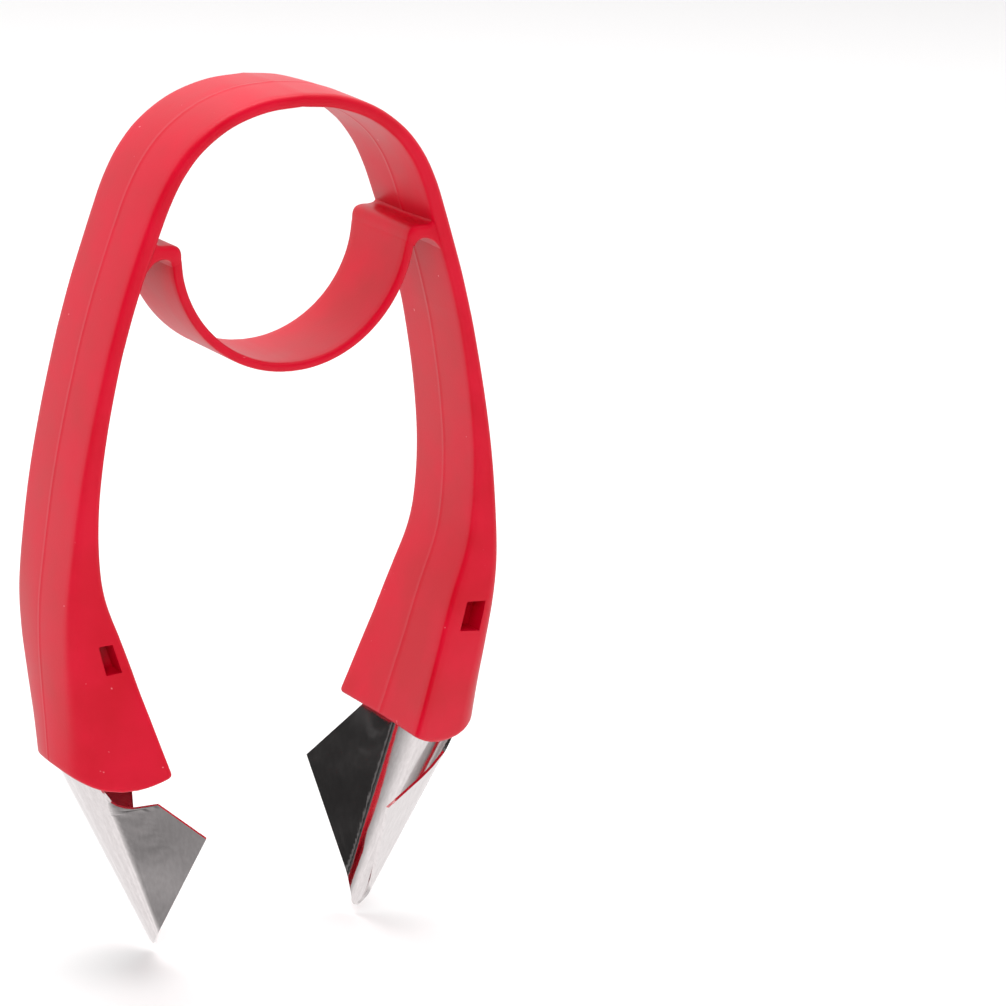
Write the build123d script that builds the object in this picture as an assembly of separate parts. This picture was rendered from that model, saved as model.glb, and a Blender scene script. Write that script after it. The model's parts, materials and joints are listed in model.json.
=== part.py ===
from build123d import *
import os
from math import cos, radians, sin

# Fruit-coring tongs: a springy moulded handle with a finger ring, and two steel scoop blades.
# X runs across the tongs, Y through the band's depth, +Z up, blades down.
# The origin is the middle of the finger ring.

# Driving dimensions, mm

# Finger ring: the arch on top and the strap below it
band_width = 19.3
ring_radius = 19.0
strap_thickness = 1.5
strap_width = 16.4
strap_top = 0.7
shoulder_depth = 2.0
shoulder_root = 5.6
crown_rise = 1.2
haunch_rise = 4.1
haunch_power = 2.2
crown_thickness = 2.0
shoulder_thickness = 2.5
edge_round = 0.7
arch_angles = (90, 66, 42, 22, 7)
band_taper = 0.2

# Neck and hinge: where each arm flexes
neck_reach = 8.4
neck_drop = 6.7
hinge_reach = 11.1
hinge_drop = 16.4
hinge_thickness = 2.5
hinge_clearance = 0.2

# Arm and hood, below the hinge
shaft_length = 36.6
shaft_lean = 4.0
shaft_thickness = 5.2
hood_length = 28.0
hood_tuck = 3.1
hood_depth = 11.9
hood_inner_half = 12.9
hood_outer_half = 9.0
hood_crown = 2.2
arm_crown = 0.3
shaft_stations = (0.3, 0.6, 0.88)
hood_stations = (0.14, 0.45, 0.78)
lip_sag = 4.6
lip_dip = 1.6
lip_heel = 2.0
lip_overrun = 6.0
lip_spare = 8.0

# Blade: a sheet bent round a tapering spine into a V, pointed at both corners
blade_thickness = 0.5
blade_fit = 0.05
blade_cover = 2.2
blade_reach = 35.9
spine_angle = 26.3
wing_half_angle = 43.3
tip_spine_radius = 2.4
root_spine_radius = 8.0
cone_length = 48.0
corner_along = 18.5
corner_depth = 12.6
throat_along = 31.0
throat_depth = 9.4
shank_insert = 3.0
shank_depth = 5.0
tip_round = 1.3
tip_flat = 0.6
back_margin = 2.0

# Relief cut in the near wing of each blade
left_relief_along = 26.4
left_relief_depth = 9.6
right_relief_along = 24.5
right_relief_depth = 6.2
relief_floor_along = 29.4
relief_floor_depth = 4.0

# Tongue that carries the blade up inside the arm
tongue_half = 3.0
tongue_rise = 22.0
tongue_bend = 4.6
tongue_overlap = 1.0
tongue_inset = 0.7
knee_lean = 1.1
head_lean = 2.1

# Moulded windows in the near edge of each hood
window_height = 5.0
window_depth = 4.0
window_above_lip = 15.6
left_window = (3.0, 6.6)
right_window = (1.5, 6.3)

# Derived places
hinge_x = ring_radius + hinge_reach
hinge_z = -hinge_drop
hood_z = hinge_z - shaft_length
lip_z = hood_z - hood_length
hood_outer_x = hinge_x + hinge_thickness / 2 + shaft_lean + shaft_thickness / 3
lip_outer_x = hood_outer_x - hood_tuck
seat_x = lip_outer_x + hood_crown - blade_cover
spine_up = Vector(sin(radians(spine_angle)), 0, cos(radians(spine_angle)))
spine_in = Vector(-spine_up.Z, 0, spine_up.X)
blade_tip = Vector(seat_x, 0, lip_z) - spine_up * blade_reach


def arch_point(angle, offset):
    """Point on the arch: offset 0 is its inside, 1 its outside, and 90 degrees is the crown."""
    spread = (1 - angle / 90) ** haunch_power
    inside = ring_radius + crown_rise + (haunch_rise - crown_rise) * spread
    thickness = crown_thickness + (shoulder_thickness - crown_thickness) * spread
    radius = inside + offset * thickness
    return (radius * cos(radians(angle)), radius * sin(radians(angle)))


def band_side(offset):
    """One side of the band from the crown down to the hinge, on the right."""
    side = hinge_thickness * (offset - 0.5)
    arch = [arch_point(angle, offset) for angle in arch_angles]
    neck = (ring_radius + neck_reach + side, -neck_drop + band_taper * side)
    hinge = (hinge_x + side, hinge_z + band_taper * side)
    return arch + [neck, hinge]


def full_curve(points):
    """A smooth curve through the right-hand points and their mirror images."""
    left = [(-x, z) for x, z in reversed(points[1:])]
    return Spline(*(left + points))


def on_xz(sketch, width):
    """The sketch, drawn in X and Z, extruded evenly to both sides of Y = 0."""
    return extrude(Plane.XZ * sketch, width / 2, both=True)


def arch_band():
    outside = full_curve(band_side(1))
    inside = full_curve(band_side(0))
    ends = [Line(outside @ end, inside @ end) for end in (0, 1)]
    band = on_xz(make_face([outside, inside] + ends), band_width)
    rims = band.faces().filter_by(Axis.Y).edges()
    return fillet(rims.filter_by(GeomType.BSPLINE), edge_round)


def finger_strap():
    outer = ring_radius + strap_thickness
    ring = Circle(outer) - Circle(ring_radius)
    below = Pos(0, strap_top - outer) * Rectangle(2 * outer, 2 * outer)
    strap = ring & below
    for side in (-1, 1):
        tab = Rectangle(shoulder_root, shoulder_depth, align=(Align.MIN, Align.MAX))
        tab = Pos(ring_radius, strap_top) * tab
        strap += tab if side > 0 else mirror(tab, about=Plane.YZ)
    strap -= Circle(ring_radius)
    return on_xz(strap, strap_width)


def hinge_cylinder(side, radius):
    axis = Pos(side * hinge_x, 0, hinge_z) * Rot(90, 0, 0)
    return axis * Cylinder(radius, 2 * band_width)


def finger_ring():
    ring = arch_band() + finger_strap()
    for side in (-1, 1):
        ring -= hinge_cylinder(side, hinge_thickness / 2 + hinge_clearance)
    return ring


def arm_section(z, inner, outer, inner_half, outer_half, crown):
    """The arm's cross-section at one height: a rounded box with a crowned outer face."""
    near_in, far_in = (inner, -inner_half), (inner, inner_half)
    near_out, far_out = (outer, -outer_half), (outer, outer_half)
    outline = [
        Line(near_in, near_out),
        ThreePointArc(near_out, (outer + crown, 0), far_out),
        Line(far_out, far_in),
        ThreePointArc(far_in, (inner - arm_crown, 0), near_in),
    ]
    face = make_face(outline)
    return Pos(0, 0, z) * fillet(face.vertices(), edge_round)


def arm_sections():
    """Sections from the hinge down past the lip, as the thin shaft swells into the hood."""
    half = band_width / 2
    top_in = hinge_x - hinge_thickness / 2
    top_out = hinge_x + hinge_thickness / 2
    sections = [arm_section(hinge_z, top_in, top_out, half, half, arm_crown)]
    for part in shaft_stations:
        outer = top_out + (hood_outer_x - top_out) * (1 - (1 - part) ** 1.9)
        thickness = hinge_thickness + (shaft_thickness - hinge_thickness) * part ** 1.8
        z = hinge_z - shaft_length * part
        sections.append(arm_section(z, outer - thickness, outer, half, half, arm_crown))
    for part in hood_stations + (1 + lip_spare / hood_length,):
        outer = hood_outer_x - hood_tuck * part ** 1.5
        thickness = shaft_thickness + (hood_depth - shaft_thickness) * part ** 0.9
        inner_half = half + (hood_inner_half - half) * part
        outer_half = half + (hood_outer_half - half) * part
        crown = arm_crown + (hood_crown - arm_crown) * part
        z = hood_z - hood_length * part
        sections.append(arm_section(z, outer - thickness, outer, inner_half, outer_half, crown))
    return sections


def lip_cut():
    """Everything below the hood's curved lip."""
    inner = lip_outer_x - hood_depth
    left, right = inner - lip_overrun, lip_outer_x + lip_overrun
    heel, toe = (right, lip_z + lip_heel), (left, lip_z + lip_sag)
    arc = ThreePointArc(toe, ((inner + right) / 2, lip_z - lip_dip), heel)
    floor = lip_z - 3 * lip_spare
    sides = Polyline(heel, (right, floor), (left, floor), toe)
    return on_xz(make_face([arc, sides]), 4 * band_width)


def window_cut(window):
    """A blind rectangular window in the hood's near edge, at distances in from its outside."""
    low, high = window
    top = lip_z + window_above_lip + window_height
    size = Box(high - low, 2 * window_depth, window_height, align=(Align.MAX, Align.CENTER, Align.MAX))
    return Pos(hood_outer_x - low, -band_width / 2, top) * size


def plain_arm():
    return hinge_knuckle() + loft(arm_sections()) - lip_cut()


def hinge_knuckle():
    axis = Pos(hinge_x, 0, hinge_z) * Rot(90, 0, 0)
    return axis * Cylinder(hinge_thickness / 2, band_width - 2 * edge_round)


def spine_section(along, radius, grow):
    """The V-bent sheet across the spine: x runs inwards from the spine's back."""
    outer = radius + grow
    inner = radius - blade_thickness - grow
    bend = radians(90 - wing_half_angle)
    wing = 3 * corner_depth

    def wing_end(start, side):
        run = (cos(radians(wing_half_angle)) * wing, side * sin(radians(wing_half_angle)) * wing)
        return (start[0] + run[0], start[1] + run[1])

    def tangent(arc_radius, side):
        return (radius - arc_radius * cos(bend), side * arc_radius * sin(bend))

    out_a, out_b = tangent(outer, 1), tangent(outer, -1)
    in_a, in_b = tangent(inner, 1), tangent(inner, -1)
    outline = [
        ThreePointArc(out_b, (radius - outer, 0), out_a),
        Line(out_a, wing_end(out_a, 1)),
        Line(wing_end(out_a, 1), wing_end(in_a, 1)),
        Line(wing_end(in_a, 1), in_a),
        ThreePointArc(in_a, (radius - inner, 0), in_b),
        Line(in_b, wing_end(in_b, -1)),
        Line(wing_end(in_b, -1), wing_end(out_b, -1)),
        Line(wing_end(out_b, -1), out_b),
    ]
    return Pos(0, 0, along) * make_face(outline)


def wing_outline(grow):
    """The blade seen from the side: tip, corner, throat and the shank inside the hood."""
    top = blade_reach + shank_insert + grow
    back = -back_margin
    return make_face(Polyline(
        (back, -grow),
        (tip_round - tip_flat, -grow),
        (corner_depth + grow, corner_along),
        (throat_depth + grow, throat_along),
        (shank_depth + grow, top),
        (back, top),
        close=True,
    ))


def blade_shell(grow):
    """The bent sheet in its own frame: x inwards, z up the spine from the tip."""
    spread = (root_spine_radius - tip_spine_radius) / cone_length
    low = spine_section(-back_margin, tip_spine_radius - back_margin * spread, grow)
    high = spine_section(cone_length, root_spine_radius, grow)
    shell = loft([low, high], ruled=True)
    return shell & on_xz(wing_outline(grow), 8 * band_width)


def relief_cut(along, depth):
    """A rounded relief in the near wing, between its corner and the hood."""
    notch = make_face([
        Line((depth + 1.2, along + 1.5), (depth - 0.4, along)),
        ThreePointArc((depth - 0.4, along), ((depth + relief_floor_depth) / 2, along + 0.2),
                      (relief_floor_depth, relief_floor_along)),
        Polyline((relief_floor_depth, relief_floor_along),
                 (relief_floor_depth + 0.8, relief_floor_along + 5),
                 (depth + 6, relief_floor_along + 5), (depth + 6, along + 1.5),
                 (depth + 1.2, along + 1.5)),
    ])
    return extrude(Plane.XZ * notch, -band_width)


def blade_frame():
    return Plane(origin=blade_tip, x_dir=spine_in, z_dir=spine_up)


def tongue(grow):
    """The flat strip that runs from the shell's top up the middle of the arm."""
    foot = blade_tip + spine_up * (blade_reach + shank_insert - tongue_overlap) + spine_in * tongue_inset
    knee = (foot.X - knee_lean, foot.Z + tongue_bend)
    head = (foot.X - head_lean, foot.Z + tongue_rise)
    path = [(foot.X, foot.Z), knee, head]
    half = blade_thickness / 2 + grow
    right = [(x + half, z) for x, z in path]
    left = [(x - half, z) for x, z in reversed(path)]
    if grow:
        right[-1] = (right[-1][0], right[-1][1] + grow)
        left[0] = (left[0][0], left[0][1] + grow)
    return on_xz(make_face(Polyline(*right, *left, close=True)), 2 * (tongue_half + grow))


def blade(grow, relief=None):
    shell = blade_shell(grow)
    if relief:
        shell -= relief_cut(*relief)
    return blade_frame() * shell + tongue(grow)


def arm(window):
    return plain_arm() - blade(blade_fit) - window_cut(window)


def write_parts():
    os.makedirs("parts", exist_ok=True)
    left_relief = (left_relief_along, left_relief_depth)
    right_relief = (right_relief_along, right_relief_depth)
    nodes = {
        "finger_ring": finger_ring(),
        "right_arm": arm(right_window),
        "left_arm": mirror(arm(left_window), about=Plane.YZ),
        "right_blade": blade(0, right_relief),
        "left_blade": mirror(blade(0, left_relief), about=Plane.YZ),
    }
    for name, shape in nodes.items():
        export_step(shape, f"parts/{name}.step")


write_parts()
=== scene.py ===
"""Fruit-coring tongs: a red moulded handle with a finger ring, and two polished steel scoop blades."""

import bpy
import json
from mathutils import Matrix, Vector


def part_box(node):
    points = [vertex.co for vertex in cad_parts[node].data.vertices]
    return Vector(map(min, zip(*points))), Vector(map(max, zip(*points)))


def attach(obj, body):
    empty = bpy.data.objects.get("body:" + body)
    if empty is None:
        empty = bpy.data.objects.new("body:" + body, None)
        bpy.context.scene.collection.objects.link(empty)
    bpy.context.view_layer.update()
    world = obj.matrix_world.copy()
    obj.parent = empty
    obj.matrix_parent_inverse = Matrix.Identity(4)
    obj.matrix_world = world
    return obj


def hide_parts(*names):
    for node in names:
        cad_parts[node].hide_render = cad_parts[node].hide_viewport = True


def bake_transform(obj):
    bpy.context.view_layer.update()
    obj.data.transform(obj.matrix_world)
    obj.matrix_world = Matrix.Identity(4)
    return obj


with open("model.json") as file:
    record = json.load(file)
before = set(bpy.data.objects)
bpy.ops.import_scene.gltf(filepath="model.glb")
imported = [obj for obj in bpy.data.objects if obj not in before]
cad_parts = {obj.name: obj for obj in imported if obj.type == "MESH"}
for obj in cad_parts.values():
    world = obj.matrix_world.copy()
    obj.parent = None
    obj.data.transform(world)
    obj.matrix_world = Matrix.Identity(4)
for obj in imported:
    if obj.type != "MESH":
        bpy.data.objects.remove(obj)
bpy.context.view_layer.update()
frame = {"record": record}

import json
from math import cos, pi, radians, sin

import bmesh
import bpy
from mathutils import Matrix, Vector

MM = 0.001

# Sizes are in mm here, and a finished mesh is in metres.
MOUNT = next(m for m in frame["record"]["mounts"] if m["name"] == "finger_ring")
RING_R = MOUNT["dims"]["r_mm"]

# Outside of the band on the right, from the crown to below the hood's lip: (x, z)
OUTSIDE = [
    (0, 22.2), (6.2, 21.6), (12.3, 19.6), (17.4, 16.2), (20.9, 12.2), (23.4, 7.7), (25.3, 2.9),
    (27.0, -1.9), (28.6, -6.7), (30.0, -11.5), (31.3, -16.4), (33.5, -26.2), (35.3, -36.1),
    (36.5, -46), (37.1, -54), (36.8, -61), (35.9, -68), (34.8, -75), (33.9, -82), (33.2, -88),
]
# Thickness of the band against height: (z, thickness)
THICKNESS = [
    (22.2, 2.0), (12, 2.2), (3, 2.5), (-6, 2.35), (-16, 2.35), (-27, 2.7), (-38, 3.4), (-46, 4.4),
    (-52, 5.8), (-58, 8.0), (-64, 9.3), (-70, 10.2), (-76, 11.4), (-82, 12.8), (-88, 14.2),
]
# Half-width of the band's inner and outer edges against height
INNER_HALF = [
    (22, 10.4), (12, 10.3), (0, 9.75), (-48, 9.65), (-57, 9.9), (-65, 10.7), (-72, 11.6), (-79, 12.6),
    (-88, 13.6),
]
OUTER_HALF = [
    (22, 10.4), (12, 10.3), (0, 9.75), (-50, 9.65), (-60, 9.6), (-70, 9.3), (-80, 9.0), (-88, 8.8),
]
# Bulge of the outer face against height, and the radius of its edges
CROWN = [(22, 0.25), (-45, 0.3), (-54, 0.5), (-62, 0.9), (-70, 1.4), (-79, 2.0), (-88, 2.3)]
OUTER_ROUND = [(22, 0.8), (-45, 0.9), (-58, 1.3), (-70, 2.2), (-80, 3.0), (-88, 3.2)]
INNER_ROUND = 0.8
# The most of the band's thickness that each rounding takes
OUTER_ROUND_SHARE = 0.45
INNER_ROUND_SHARE = 0.4
# The inner face bulges a little on the arm, and turns hollow from HOOD_TOP down over HOOD_SPAN
ARM_BULGE = 0.2
HOOD_HOLLOWING = 0.6
HOOD_TOP = -54
HOOD_SPAN = 26

# The lip is a shallow curve across the hood. The arch ends and the arms start at SPLIT_Z.
LIP_LOW = -83.2
LIP_CENTRE = 28.3
LIP_CURVE = 0.042
LIP_ROUND = 0.9
UNDERSIDE_SINK = 0.15
SPLIT_Z = -13.0

# Parting line: where its foot and its top lie from the middle, and its height
PARTING = (0.30, 0.12)
PARTING_HEIGHT = 0.05

# Windows: top and bottom, and where they start and end across the near side, from outside to inside
LEFT_WINDOW = {"rows": (-59.8, -64.8), "side": (0.50, 0.86)}
RIGHT_WINDOW = {"rows": (-61.0, -66.0), "side": (0.07, 0.64)}
WINDOW_DEPTH = 3.6

# Mesh fineness
ROW_SPACING = 0.9
ROW_SLACK = 0.05
LAST_ROW = -87.5
LIP_START = -70
LIP_ROWS = 16
FACE_NODES = (0.9, 0.78, 0.64, 0.5, 0.36, 0.2, 0.1)
CORNER_STEPS = 5
SIDE_STEPS = 6
LIP_STEPS = 5
UNDERSIDE_SHARES = (0.25, 0.5, 0.75)
CURVE_STEPS = 24
CORNER_FULLNESS = 0.85
TINY = 1e-9


def between(table, z):
    """Value at height z in a table of (z, value) that runs downwards, in straight steps."""
    if z >= table[0][0]:
        return table[0][1]
    for (z0, v0), (z1, v1) in zip(table, table[1:]):
        if z >= z1:
            share = (z0 - z) / (z0 - z1)
            return v0 + (v1 - v0) * share
    return table[-1][1]


def smooth_table(table):
    """The table with a row for each mm and its corners rounded off, by averages over 8 mm."""
    rows = []
    z = table[0][0]
    while z > table[-1][0]:
        nearby = [between(table, z + k) for k in range(-4, 5)]
        rows.append((z, sum(nearby) / len(nearby)))
        z -= 1.0
    rows.append((table[-1][0], table[-1][1]))
    return rows


def catmull(points, per_span):
    """Points along a smooth curve through the given ones."""
    out = []
    padded = [2 * Vector(points[0]) - Vector(points[1])] + [Vector(p) for p in points]
    padded.append(2 * Vector(points[-1]) - Vector(points[-2]))
    for i in range(1, len(padded) - 2):
        p0, p1, p2, p3 = padded[i - 1:i + 3]
        for k in range(per_span):
            t = k / per_span
            out.append(0.5 * (2 * p1 + (p2 - p0) * t + (2 * p0 - 5 * p1 + 4 * p2 - p3) * t * t
                              + (3 * p1 - p0 - 3 * p2 + p3) * t ** 3))
    out.append(padded[-2])
    return out


def resampled(points, spacing):
    """The polyline again with evenly spaced points."""
    lengths = [0.0]
    for a, b in zip(points, points[1:]):
        lengths.append(lengths[-1] + (b - a).length)
    count = max(2, round(lengths[-1] / spacing))
    out, k = [], 0
    for i in range(count + 1):
        want = lengths[-1] * i / count
        while k < len(points) - 2 and lengths[k + 1] < want:
            k += 1
        share = (want - lengths[k]) / max(lengths[k + 1] - lengths[k], TINY)
        out.append(points[k].lerp(points[k + 1], share))
    return out


THICK = smooth_table(THICKNESS)
WIDE_IN = smooth_table(INNER_HALF)
WIDE_OUT = smooth_table(OUTER_HALF)
BULGE = smooth_table(CROWN)
ROUND_OUT = smooth_table(OUTER_ROUND)


def lip_height(x):
    """Height of the hood's lip at that distance from the middle."""
    return LIP_LOW + LIP_CURVE * (abs(x) - LIP_CENTRE) ** 2


def corner(before, at, after, radius, steps):
    """Rounds one corner of an outline with a few points."""
    a = at + (before - at).normalized() * radius
    b = at + (after - at).normalized() * radius
    pull = at.lerp((a + b) / 2, 1 - CORNER_FULLNESS)
    points = []
    for k in range(steps + 1):
        t = k / steps
        points.append((1 - t) ** 2 * a + 2 * t * (1 - t) * pull + t * t * b)
    return points


def face_positions(half):
    """Y places across a face, with the parting line in the middle."""
    side = [share * half for share in FACE_NODES] + list(PARTING)
    return [-y for y in side] + [0.0] + side[::-1]


def section(z, near_shares):
    """Closed loop of (depth from inner face, y) at that height, and where its near side starts."""
    t, wi, wo = between(THICK, z), between(WIDE_IN, z), between(WIDE_OUT, z)
    bulge = between(BULGE, z)
    r_out = min(between(ROUND_OUT, z), OUTER_ROUND_SHARE * t)
    r_in = min(INNER_ROUND, INNER_ROUND_SHARE * t)
    dish = ARM_BULGE - HOOD_HOLLOWING * max(0.0, min(1.0, (HOOD_TOP - z) / HOOD_SPAN))
    inner_near, outer_near = Vector((0, -wi)), Vector((t, -wo))
    inner_far, outer_far = Vector((0, wi)), Vector((t, wo))
    flat = wo - r_out

    def ridge(y):
        return PARTING_HEIGHT if abs(y) <= PARTING[1] else 0.0

    def outer(y):
        return Vector((t + bulge * (1 - (y / wo) ** 2) + ridge(y), y))

    def inner(y):
        return Vector((-dish * (1 - (y / wi) ** 2) - ridge(y), y))

    loop = [outer(y) for y in face_positions(flat)]
    loop += corner(loop[-1], outer_far, inner_far, r_out, CORNER_STEPS)
    far_start = loop[-1]
    far_end = inner_far + (outer_far - inner_far).normalized() * r_in
    loop += [far_start.lerp(far_end, k / SIDE_STEPS) for k in range(1, SIDE_STEPS)]
    loop += corner(outer_far, inner_far, inner(wi - 1), r_in, CORNER_STEPS)
    loop += [inner(y) for y in reversed(face_positions(wi - r_in))]
    loop += corner(inner(-wi + 1), inner_near, outer_near, r_in, CORNER_STEPS)
    near_start = loop[-1]
    near_end = outer_near + (inner_near - outer_near).normalized() * r_out
    first = len(loop)
    loop += [near_end.lerp(near_start, share) for share in near_shares]
    loop += corner(inner_near, outer_near, outer(-flat), r_out, CORNER_STEPS)
    return loop, first


def band_rows(forced):
    """Outside points and inward normals down the right of the band, with rows at the forced heights."""
    curve = catmull([(x, 0, z) for x, z in OUTSIDE], CURVE_STEPS)
    points = resampled(curve, ROW_SPACING)
    for z in forced:
        near = min(range(len(points)), key=lambda i: abs(points[i].z - z))
        low = min(range(len(curve)), key=lambda i: abs(curve[i].z - z))
        points[near] = Vector((curve[low].x, 0, z))
    rows = []
    for i, p in enumerate(points):
        a = points[max(i - 1, 0)]
        b = points[min(i + 1, len(points) - 1)]
        run = (b - a).normalized()
        if i == 0:
            run = Vector((1, 0, 0))
        rows.append((p, Vector((run.z, 0, -run.x))))
    return rows


def on_row(row, depth, y):
    """A section point placed in the row frame. The row's vector points inwards."""
    point, inward = row
    t = between(THICK, point.z)
    at = point + inward * (t - depth)
    return Vector((at.x, y, at.z))


def add_grid(bm, loops, closed=True):
    """Quads between successive loops of bmesh vertices."""
    for a, b in zip(loops, loops[1:]):
        n = len(a)
        for i in range(n if closed else n - 1):
            j = (i + 1) % n
            bm.faces.new((a[i], a[j], b[j], b[i]))


def finish_mesh(bm, name, sharp=40):
    """Makes the object, smooth but for edges sharper than that many degrees."""
    bmesh.ops.recalc_face_normals(bm, faces=bm.faces)
    mesh = bpy.data.meshes.new(name)
    bm.to_mesh(mesh)
    bm.free()
    mesh.shade_smooth()
    mesh.set_sharp_from_angle(angle=radians(sharp))
    piece = bpy.data.objects.new(name, mesh)
    bpy.context.scene.collection.objects.link(piece)
    return piece


def half_band_loops(side, window):
    """Loops and heights of one half of the band, its shares across the near side, and their start."""
    low, high = window["side"]
    third = (high - low) / 3
    shares = [(1 + high) / 2, high, low + 2 * third, low + third, low, low * 0.5]
    loops, heights, first = [], [], 0
    for row in band_rows(list(window["rows"]) + [SPLIT_Z]):
        z = row[0].z
        if z < LAST_ROW:
            break
        loop, first = section(z, shares)
        placed = []
        for depth, y in loop:
            p = on_row(row, depth, y)
            placed.append(Vector((side * p.x, p.y, p.z)))
        loops.append(placed)
        heights.append(z)
    return loops, heights, shares, first


def cut_at_lip(loops, heights):
    """Ends every lengthwise line of the half band on the lip."""
    kept = [loop for loop, z in zip(loops, heights) if z > LIP_START]
    lines = []
    for line in zip(*loops[len(kept) - 1:]):
        above = [p.z - lip_height(p.x) for p in line]
        i = next(i for i in range(1, len(line)) if above[i - 1] >= 0 > above[i])
        end = line[i - 1].lerp(line[i], above[i - 1] / (above[i - 1] - above[i]))
        lines.append(list(line[:i]) + [end])
    for k in range(1, LIP_ROWS + 1):
        loop = []
        for line in lines:
            spans = [(b - a).length for a, b in zip(line, line[1:])]
            want, total = sum(spans) * k / LIP_ROWS, 0.0
            for a, b, span in zip(line, line[1:], spans):
                if total + span >= want - TINY:
                    loop.append(a.lerp(b, (want - total) / max(span, TINY)))
                    break
                total += span
            else:
                loop.append(line[-1])
        kept.append(loop)
    return kept


def lip_loops(last, before):
    """Rounds the lip over and runs the underside in to a slightly sunken middle."""
    centre = sum(last, Vector()) / len(last)
    loops = []
    for k in range(1, LIP_STEPS + 1):
        turn = k / LIP_STEPS * pi / 2
        inset, drop = LIP_ROUND * (1 - cos(turn)), LIP_ROUND * sin(turn)
        loop = []
        for p, q in zip(last, before):
            down = (p - q).normalized()
            flat = Vector((centre.x - p.x, centre.y - p.y, 0)).normalized()
            loop.append(p + down * (drop - LIP_ROUND) + flat * inset)
        loops.append(loop)
    edge = loops[-1]
    middle = Vector((centre.x, centre.y, lip_height(centre.x)))
    for share in UNDERSIDE_SHARES:
        loop = []
        for p in edge:
            q = p.lerp(middle, share)
            q.z = lip_height(q.x) + UNDERSIDE_SINK * share
            loop.append(q)
        loops.append(loop)
    return loops


def build_half(side, window):
    """Loops of one half of the band down to its lip, with the index of its split into arch and arm."""
    loops, heights, shares, first = half_band_loops(side, window)
    whole = cut_at_lip(loops, heights)
    split = min(range(len(heights)), key=lambda i: abs(heights[i] - SPLIT_Z))
    return whole, split, heights, shares, first


def add_skin(bm, grid, hole):
    """Quads round the arm but for those of its window, and a face under the hood."""
    for r, (a, b) in enumerate(zip(grid, grid[1:])):
        for c in range(len(a)):
            if (r, c) not in hole:
                d = (c + 1) % len(a)
                bm.faces.new((a[c], a[d], b[d], b[c]))
    bm.faces.new(grid[-1])


def add_pocket(bm, window_rows, columns):
    """The blind pocket behind a window: its floor, and walls from the window's rim."""
    sink = Vector((0, WINDOW_DEPTH * MM, 0))
    floor = [[bm.verts.new(loop[c].co + sink) for c in columns] for loop in window_rows]
    add_grid(bm, floor, closed=False)
    rim = [window_rows[0][c] for c in columns]
    rim += [row[columns[-1]] for row in window_rows[1:]]
    rim += [window_rows[-1][c] for c in reversed(columns[:-1])]
    rim += [row[columns[0]] for row in reversed(window_rows[1:-1])]
    base = floor[0][:] + [row[-1] for row in floor[1:]] + list(reversed(floor[-1][:-1]))
    base += [row[0] for row in reversed(floor[1:-1])]
    add_grid(bm, [rim, base])


def arm_piece(name, window, parts):
    """One arm with its hood, from the split to the closed underside of the lip."""
    whole, split, heights, shares, first = parts
    low, high = window["side"]
    top, bottom = window["rows"]
    columns = [first + i for i, share in enumerate(shares) if low <= share <= high]
    rows = [i - split for i, z in enumerate(heights) if bottom - ROW_SLACK <= z <= top + ROW_SLACK]
    body = whole[split:]
    body = body[:-1] + lip_loops(body[-1], body[-2])
    bm = bmesh.new()
    grid = [[bm.verts.new(p * MM) for p in loop] for loop in body]
    add_skin(bm, grid, {(r, c) for r in rows[:-1] for c in columns[:-1]})
    add_pocket(bm, [grid[r] for r in rows], columns)
    return finish_mesh(bm, name)


def arch_piece(right, left):
    """The arch between the two splits, over the crown, as one strip."""
    right_loops, right_split = right[:2]
    left_loops, left_split = left[:2]
    loops = left_loops[left_split:0:-1] + right_loops[:right_split + 1]
    bm = bmesh.new()
    grid = [[bm.verts.new(p * MM) for p in loop] for loop in loops]
    add_grid(bm, grid)
    return finish_mesh(bm, "arch")


# Strap, and its shoulder on the right with matched points inside and outside: (x, z)
STRAP_THICK = 1.5
STRAP_HALF = 8.6
SHOULDER_FLARE = 0.7
STRAP_ROUND = 0.62
STRAP_ROUND_SHARE = 0.42
STRAP_CORNER_STEPS = 4
STRAP_RIM_STEPS = 3
STRAP_STEPS = 12
STRAP_END = 84
PER_SPAN = 4
SHOULDER_IN = [
    (19.0, -1.6), (19.12, -0.55), (19.6, 0.28), (20.6, 0.66), (22.2, 0.72), (23.1, 1.1), (24.2, 2.7),
]
SHOULDER_OUT = [
    (20.4, -2.7), (20.75, -2.0), (21.25, -1.6), (21.9, -1.45), (22.8, -1.55), (23.9, -2.2), (25.3, -3.8),
]


def strap_outline(thick, half):
    """The strap's rounded cross-section as (depth from its inside, y)."""
    r = min(STRAP_ROUND, STRAP_ROUND_SHARE * thick)
    corners = [Vector((0, -half)), Vector((0, half)), Vector((thick, half)), Vector((thick, -half))]
    outline = []
    for k in range(4):
        before, at, after = corners[k - 1], corners[k], corners[(k + 1) % 4]
        outline += corner(before, at, after, r, STRAP_CORNER_STEPS)
        start = at + (after - at).normalized() * r
        end = after + (at - after).normalized() * r
        steps = STRAP_STEPS if k in (0, 2) else STRAP_RIM_STEPS
        outline += [start.lerp(end, i / steps) for i in range(1, steps)]
    return outline


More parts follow.
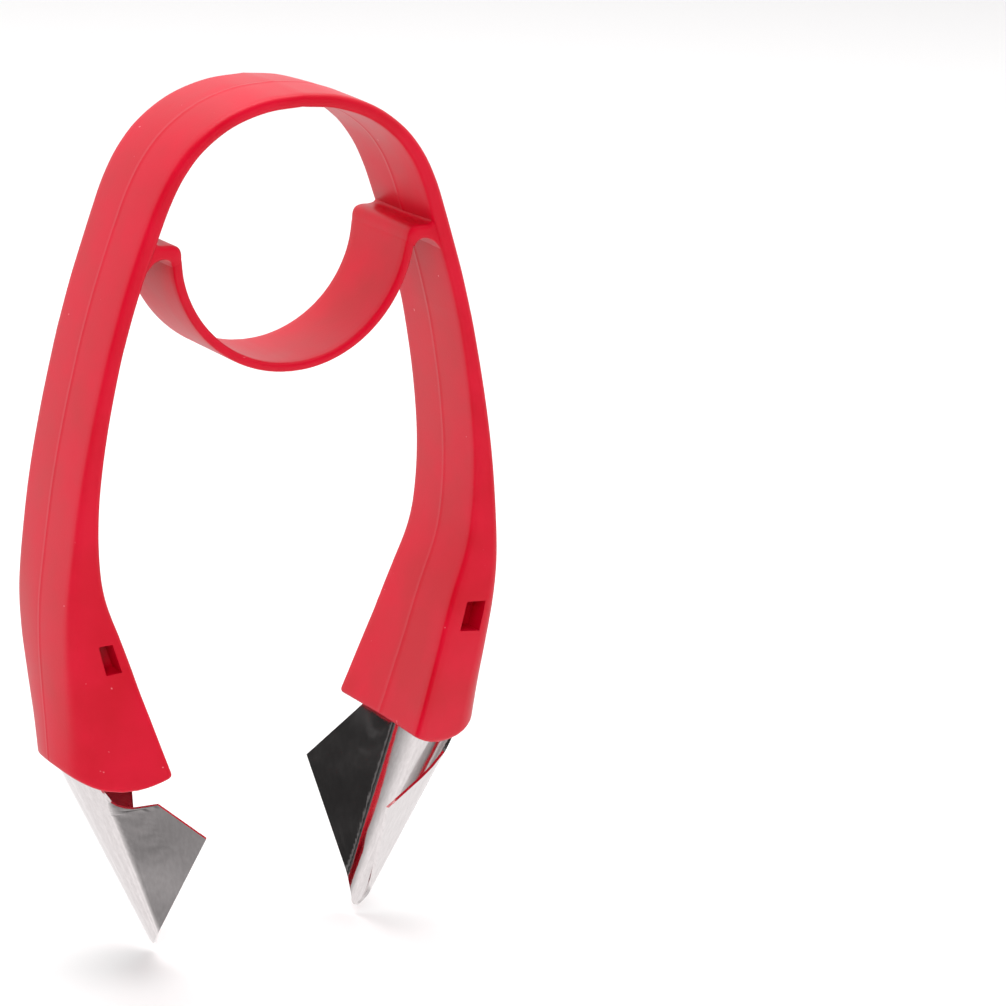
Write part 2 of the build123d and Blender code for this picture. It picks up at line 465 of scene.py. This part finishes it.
def strap_piece():
    """The U-shaped strap, thickening into a shoulder where it meets the arch on each side."""
    sweep = [radians(-90 + k * STRAP_END / STRAP_STEPS) for k in range(STRAP_STEPS + 1)]
    outer_r = RING_R + STRAP_THICK
    inner = [(RING_R * cos(a), 0, RING_R * sin(a)) for a in sweep]
    outer = [(outer_r * cos(a), 0, outer_r * sin(a)) for a in sweep]
    inner += [(x, 0, z) for x, z in SHOULDER_IN]
    outer += [(x, 0, z) for x, z in SHOULDER_OUT]
    pairs = list(zip(catmull(inner, PER_SPAN), catmull(outer, PER_SPAN)))
    mirrored = [(Vector((-a.x, 0, a.z)), Vector((-b.x, 0, b.z))) for a, b in pairs[1:]][::-1]
    pairs = mirrored + pairs
    bm = bmesh.new()
    grid = []
    for a, b in pairs:
        half = STRAP_HALF + SHOULDER_FLARE * max(0.0, 1 + min(a.z, 0) / RING_R) ** 3
        outline = strap_outline((b - a).length, half)
        axis = (b - a).normalized()
        loop = [a + axis * n + Vector((0, y, 0)) for n, y in outline]
        grid.append([bm.verts.new(p * MM) for p in loop])
    add_grid(bm, grid)
    bm.faces.new(grid[0])
    bm.faces.new(grid[-1])
    return finish_mesh(bm, "finger_strap", 50)


# Blade: a sheet bent along two creases, laid out flat as (along the spine, out from it)
BLADE_T = 0.45
SPINE_ANGLE = radians(26.3)
TIP_X, TIP_Z = 18.2, -113.2
CREASE_AT_TIP, CREASE_SPREAD = 2.8, 0.18
BACK_TURN, WING_TURN = radians(28), radians(53)
CREASE_WIDTH = 0.7
TIP_ROUND = 1.3
BEND_STEPS = 24
BLADE_SPACING = 0.9
BLADE_HALF_STEPS = 26
CORNER = (18.5, 19.0)
FAR_EDGE = [CORNER, (30.0, 14.5), (32.0, 12.6), (38.0, 6.0)]
LEFT_NEAR_EDGE = [CORNER, (27.3, 15.2), (27.5, 13.9), (27.7, 12.4), (27.9, 11.3), (28.4, 10.2),
                  (29.2, 9.3), (30.2, 8.7), (31.5, 8.4), (38.0, 7.5)]
RIGHT_NEAR_EDGE = [CORNER, (24.6, 11.6), (26.6, 9.9), (29.2, 8.6), (32.0, 8.0), (38.0, 7.5)]
TIP_EDGE = [(TIP_ROUND * (1 - cos(radians(a))), TIP_ROUND * sin(radians(a))) for a in (8, 25, 45, 65)]


def edge_at(table, along):
    """Flat distance of the blade's edge from its spine at that place along it."""
    full = TIP_EDGE + table
    if along <= full[0][0]:
        return full[0][1]
    for (a0, d0), (a1, d1) in zip(full, full[1:]):
        if along <= a1:
            return d0 + (d1 - d0) * (along - a0) / (a1 - a0)
    return full[-1][1]


def bent(along, out, lift):
    """A flat point of the sheet after bending: (inwards, sideways), lifted off its back."""
    side = -1 if out < 0 else 1
    out = abs(out)
    crease = CREASE_AT_TIP + CREASE_SPREAD * along
    n = y = turn = 0.0
    for k in range(BEND_STEPS):
        mid = out * (k + 0.5) / BEND_STEPS
        if mid < crease:
            turn = BACK_TURN * mid / crease
        else:
            turn = BACK_TURN + (WING_TURN - BACK_TURN) * min(1.0, (mid - crease) / CREASE_WIDTH)
        n += sin(turn) * out / BEND_STEPS
        y += cos(turn) * out / BEND_STEPS
    n += cos(turn) * lift
    y -= sin(turn) * lift
    return n, side * y


def blade_piece(name, side, near_edge):
    """One blade on its spine, with its own near edge. Both have the same far edge."""
    keys = sorted({a for a, _ in TIP_EDGE + FAR_EDGE + near_edge})
    alongs = []
    for a, b in zip(keys, keys[1:]):
        parts = max(1, round((b - a) / BLADE_SPACING))
        alongs += [a + (b - a) * k / parts for k in range(parts)]
    alongs.append(keys[-1])
    shares = [k / BLADE_HALF_STEPS for k in range(-BLADE_HALF_STEPS, BLADE_HALF_STEPS + 1)]
    up = Vector((side * sin(SPINE_ANGLE), 0, cos(SPINE_ANGLE)))
    inwards = Vector((-side * cos(SPINE_ANGLE), 0, sin(SPINE_ANGLE)))
    tip = Vector((side * TIP_X, 0, TIP_Z))

    def place(along, out, lift):
        n, y = bent(along, out, lift)
        return (tip + up * along + inwards * n + Vector((0, y, 0))) * MM

    bm = bmesh.new()
    skins = []
    for lift in (0.0, BLADE_T):
        skin = []
        for along in alongs:
            near, far = edge_at(near_edge, along), edge_at(FAR_EDGE, along)
            skin.append([bm.verts.new(place(along, s * (far if s > 0 else near), lift)) for s in shares])
        skins.append(skin)
    for skin in skins:
        add_grid(bm, skin, closed=False)
    for outer, inner in ((skins[0][0], skins[1][0]), (skins[0][-1], skins[1][-1])):
        add_grid(bm, [outer, inner], closed=False)
    for column in (0, -1):
        add_grid(bm, [[r[column] for r in skins[0]], [r[column] for r in skins[1]]], closed=False)
    return finish_mesh(bm, name, 35)


# Colours
RED_DEEP, RED_CLEAR = (0.56, 0.0, 0.014, 1), (0.64, 0.0, 0.022, 1)
RED_FLECK = (0.85, 0.35, 0.38, 1)
STEEL_DEEP, STEEL_CLEAR = (0.70, 0.66, 0.66, 1), (0.78, 0.74, 0.74, 1)
FLOOR_WHITE = (0.93, 0.93, 0.93, 1)
STUDIO_WHITE = (1.0, 0.985, 0.985, 1)


def nodes_of(name):
    """A new material, its node tree and its shader."""
    material = bpy.data.materials.new(name)
    material.use_nodes = True
    tree = material.node_tree
    return material, tree, tree.nodes["Principled BSDF"]


def noise(tree, scale, detail, coords):
    """Soft noise of that scale over the coordinates."""
    node = tree.nodes.new("ShaderNodeTexNoise")
    node.inputs["Scale"].default_value = scale
    node.inputs["Detail"].default_value = detail
    tree.links.new(coords, node.inputs["Vector"])
    return node.outputs["Fac"]


def ramp(tree, source, low, high, dark, light):
    """Maps the source's span from low to high onto dark to light, and holds it beyond."""
    node = tree.nodes.new("ShaderNodeMapRange")
    node.inputs["From Min"].default_value = low
    node.inputs["From Max"].default_value = high
    node.inputs["To Min"].default_value = dark
    node.inputs["To Max"].default_value = light
    tree.links.new(source, node.inputs["Value"])
    return node.outputs["Result"]


def bump(tree, shader, source, strength, distance):
    """Bends the shader's normal by the source as a height."""
    node = tree.nodes.new("ShaderNodeBump")
    node.inputs["Strength"].default_value = strength
    node.inputs["Distance"].default_value = distance
    tree.links.new(source, node.inputs["Height"])
    tree.links.new(node.outputs["Normal"], shader.inputs["Normal"])
    return node


def red_plastic():
    """Satin moulded plastic: a fine mould grain, faint clouding and a few pale flecks."""
    material, tree, shader = nodes_of("red_plastic")
    place = tree.nodes.new("ShaderNodeTexCoord").outputs["Object"]
    cloud = noise(tree, 90, 3, place)
    mix = tree.nodes.new("ShaderNodeMix")
    mix.data_type = "RGBA"
    mix.inputs["A"].default_value = RED_DEEP
    mix.inputs["B"].default_value = RED_CLEAR
    tree.links.new(ramp(tree, cloud, 0.35, 0.65, 0, 1), mix.inputs["Factor"])
    flecks = noise(tree, 900, 1, place)
    speck = tree.nodes.new("ShaderNodeMix")
    speck.data_type = "RGBA"
    speck.inputs["B"].default_value = RED_FLECK
    tree.links.new(ramp(tree, flecks, 0.80, 0.84, 0, 0.7), speck.inputs["Factor"])
    tree.links.new(mix.outputs["Result"], speck.inputs["A"])
    tree.links.new(speck.outputs["Result"], shader.inputs["Base Color"])
    tree.links.new(ramp(tree, cloud, 0.3, 0.7, 0.34, 0.44), shader.inputs["Roughness"])
    bump(tree, shader, noise(tree, 2600, 2, place), 0.10, 0.0001)
    shader.inputs["Specular IOR Level"].default_value = 0.27
    return material


def blade_steel():
    """Polished stainless steel: faint rolling streaks and wipe marks."""
    material, tree, shader = nodes_of("blade_steel")
    place = tree.nodes.new("ShaderNodeTexCoord").outputs["Object"]
    stretch = tree.nodes.new("ShaderNodeMapping")
    stretch.inputs["Scale"].default_value = (1.0, 1.0, 0.06)
    tree.links.new(place, stretch.inputs["Vector"])
    streaks = noise(tree, 1800, 3, stretch.outputs["Vector"])
    smudge = noise(tree, 160, 3, place)
    shader.inputs["Metallic"].default_value = 1.0
    mix = tree.nodes.new("ShaderNodeMix")
    mix.data_type = "RGBA"
    mix.inputs["A"].default_value = STEEL_DEEP
    mix.inputs["B"].default_value = STEEL_CLEAR
    tree.links.new(ramp(tree, streaks, 0.3, 0.7, 0, 1), mix.inputs["Factor"])
    tree.links.new(mix.outputs["Result"], shader.inputs["Base Color"])
    tree.links.new(ramp(tree, smudge, 0.3, 0.7, 0.05, 0.12), shader.inputs["Roughness"])
    fine = bump(tree, shader, streaks, 0.03, 0.00003)
    waves = bump(tree, shader, noise(tree, 55, 1, place), 0.35, 0.0008)
    tree.links.new(fine.outputs["Normal"], waves.inputs["Normal"])
    return material


def floor_paint():
    """Plain matt white."""
    material, _, shader = nodes_of("pale_floor")
    shader.inputs["Base Color"].default_value = FLOOR_WHITE
    shader.inputs["Roughness"].default_value = 0.9
    shader.inputs["Specular IOR Level"].default_value = 0.1
    return material


# Camera: its direction, and where the origin lies in its view, in mm to the right, down and ahead
VIEW_AZIMUTH = radians(31.4)
VIEW_ELEVATION = radians(15.84)
VIEW_ROLL = radians(2.2)
VIEW_OFFSET = (-35.39, -41.64, 560.0)
FOCAL_IN_FRAMES = 3696 / 1006
SENSOR = 36.0


def add_camera():
    """The camera at the photo's angle."""
    a, e, r = VIEW_AZIMUTH, VIEW_ELEVATION, VIEW_ROLL
    ahead = Vector((sin(a) * cos(e), cos(a) * cos(e), -sin(e)))
    right = Vector((cos(a), -sin(a), 0))
    down = ahead.cross(right)
    rolled_right = right * cos(r) - down * sin(r)
    rolled_down = right * sin(r) + down * cos(r)
    place = -(rolled_right * VIEW_OFFSET[0] + rolled_down * VIEW_OFFSET[1] + ahead * VIEW_OFFSET[2])
    camera = bpy.data.objects.new("camera", bpy.data.cameras.new("camera"))
    camera.data.sensor_width = SENSOR
    camera.data.lens = FOCAL_IN_FRAMES * SENSOR
    camera.data.clip_start = 0.01
    turn = Matrix((rolled_right, -rolled_down, -ahead)).transposed().to_4x4()
    camera.matrix_world = Matrix.Translation(place * MM) @ turn
    bpy.context.scene.collection.objects.link(camera)
    bpy.context.scene.camera = camera


def add_panel(name, place, target, width, height, power, glossy=True):
    """A soft rectangular light aimed at a point."""
    light = bpy.data.lights.new(name, "AREA")
    light.shape = "RECTANGLE"
    light.size, light.size_y = width, height
    light.energy = power
    panel = bpy.data.objects.new(name, light)
    aim = (Vector(target) - Vector(place)).to_track_quat("-Z", "Y")
    panel.matrix_world = Matrix.Translation(place) @ aim.to_matrix().to_4x4()
    panel.visible_glossy = glossy
    bpy.context.scene.collection.objects.link(panel)


# The studio's light: the way its dim side lies, its strength on either side, and what a patch adds
DIM_SIDE = (-0.52, -0.85, 0.0)
BRIGHT, DIM, PATCH = 1.0, 0.03, 0.14


def add_world():
    """Soft light all round, dim with paler patches on the side that the tongs face."""
    world = bpy.data.worlds.new("studio")
    bpy.context.scene.world = world
    world.use_nodes = True
    tree = world.node_tree
    back = tree.nodes["Background"]
    direction = tree.nodes.new("ShaderNodeTexCoord").outputs["Generated"]
    dot = tree.nodes.new("ShaderNodeVectorMath")
    dot.operation = "DOT_PRODUCT"
    dot.inputs[1].default_value = DIM_SIDE
    tree.links.new(direction, dot.inputs[0])
    shade = ramp(tree, dot.outputs["Value"], 0.0, 0.55, BRIGHT, DIM)
    patches = ramp(tree, noise(tree, 5, 1, direction), 0.50, 0.62, 0.0, PATCH)
    total = tree.nodes.new("ShaderNodeMath")
    total.operation = "ADD"
    tree.links.new(shade, total.inputs[0])
    tree.links.new(patches, total.inputs[1])
    tree.links.new(total.outputs["Value"], back.inputs["Strength"])
    back.inputs["Color"].default_value = STUDIO_WHITE


# Floor, in metres: its distance below the tips and half its width
FLOOR_GAP = 0.0015
FLOOR_HALF = 4


def add_floor():
    """A wide floor just below the blades' tips."""
    mesh = bpy.data.meshes.new("floor")
    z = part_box("left_blade")[0].z - FLOOR_GAP
    ends = [(-FLOOR_HALF, -FLOOR_HALF), (FLOOR_HALF, -FLOOR_HALF)]
    ends += [(FLOOR_HALF, FLOOR_HALF), (-FLOOR_HALF, FLOOR_HALF)]
    mesh.from_pydata([(x, y, z) for x, y in ends], [], [(0, 1, 2, 3)])
    floor = bpy.data.objects.new("floor", mesh)
    bpy.context.scene.collection.objects.link(floor)
    mesh.materials.append(floor_paint())
    floor.visible_glossy = False


def paint(piece, material):
    """Gives the piece its one material, in its only slot."""
    piece.data.materials.clear()
    piece.data.materials.append(material)


bodies = {"left": "left_jaw", "right": "right_jaw"}
plastic, steel = red_plastic(), blade_steel()
halves = {"left": build_half(-1, LEFT_WINDOW), "right": build_half(1, RIGHT_WINDOW)}

arch = arch_piece(halves["right"], halves["left"])
paint(arch, plastic)
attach(arch, "ring")
strap = strap_piece()
paint(strap, plastic)
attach(strap, "ring")
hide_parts("finger_ring")

for word, side, window, near in (("left", -1, LEFT_WINDOW, LEFT_NEAR_EDGE),
                                 ("right", 1, RIGHT_WINDOW, RIGHT_NEAR_EDGE)):
    arm = arm_piece(word + "_arm_skin", window, halves[word])
    paint(arm, plastic)
    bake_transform(arm)
    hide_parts(word + "_arm")
    blade = blade_piece(word + "_scoop", side, near)
    paint(blade, steel)
    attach(blade, bodies[word])
    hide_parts(word + "_blade")

add_camera()
add_world()
add_floor()
middle = (0, 0, -0.04)
add_panel("front_key", (-0.6, -1.0, 0.7), middle, 0.9, 0.9, 11, glossy=False)
add_panel("top", (0.1, 0.2, 1.0), middle, 1.0, 1.0, 8)
bpy.context.scene.view_settings.view_transform = "Standard"
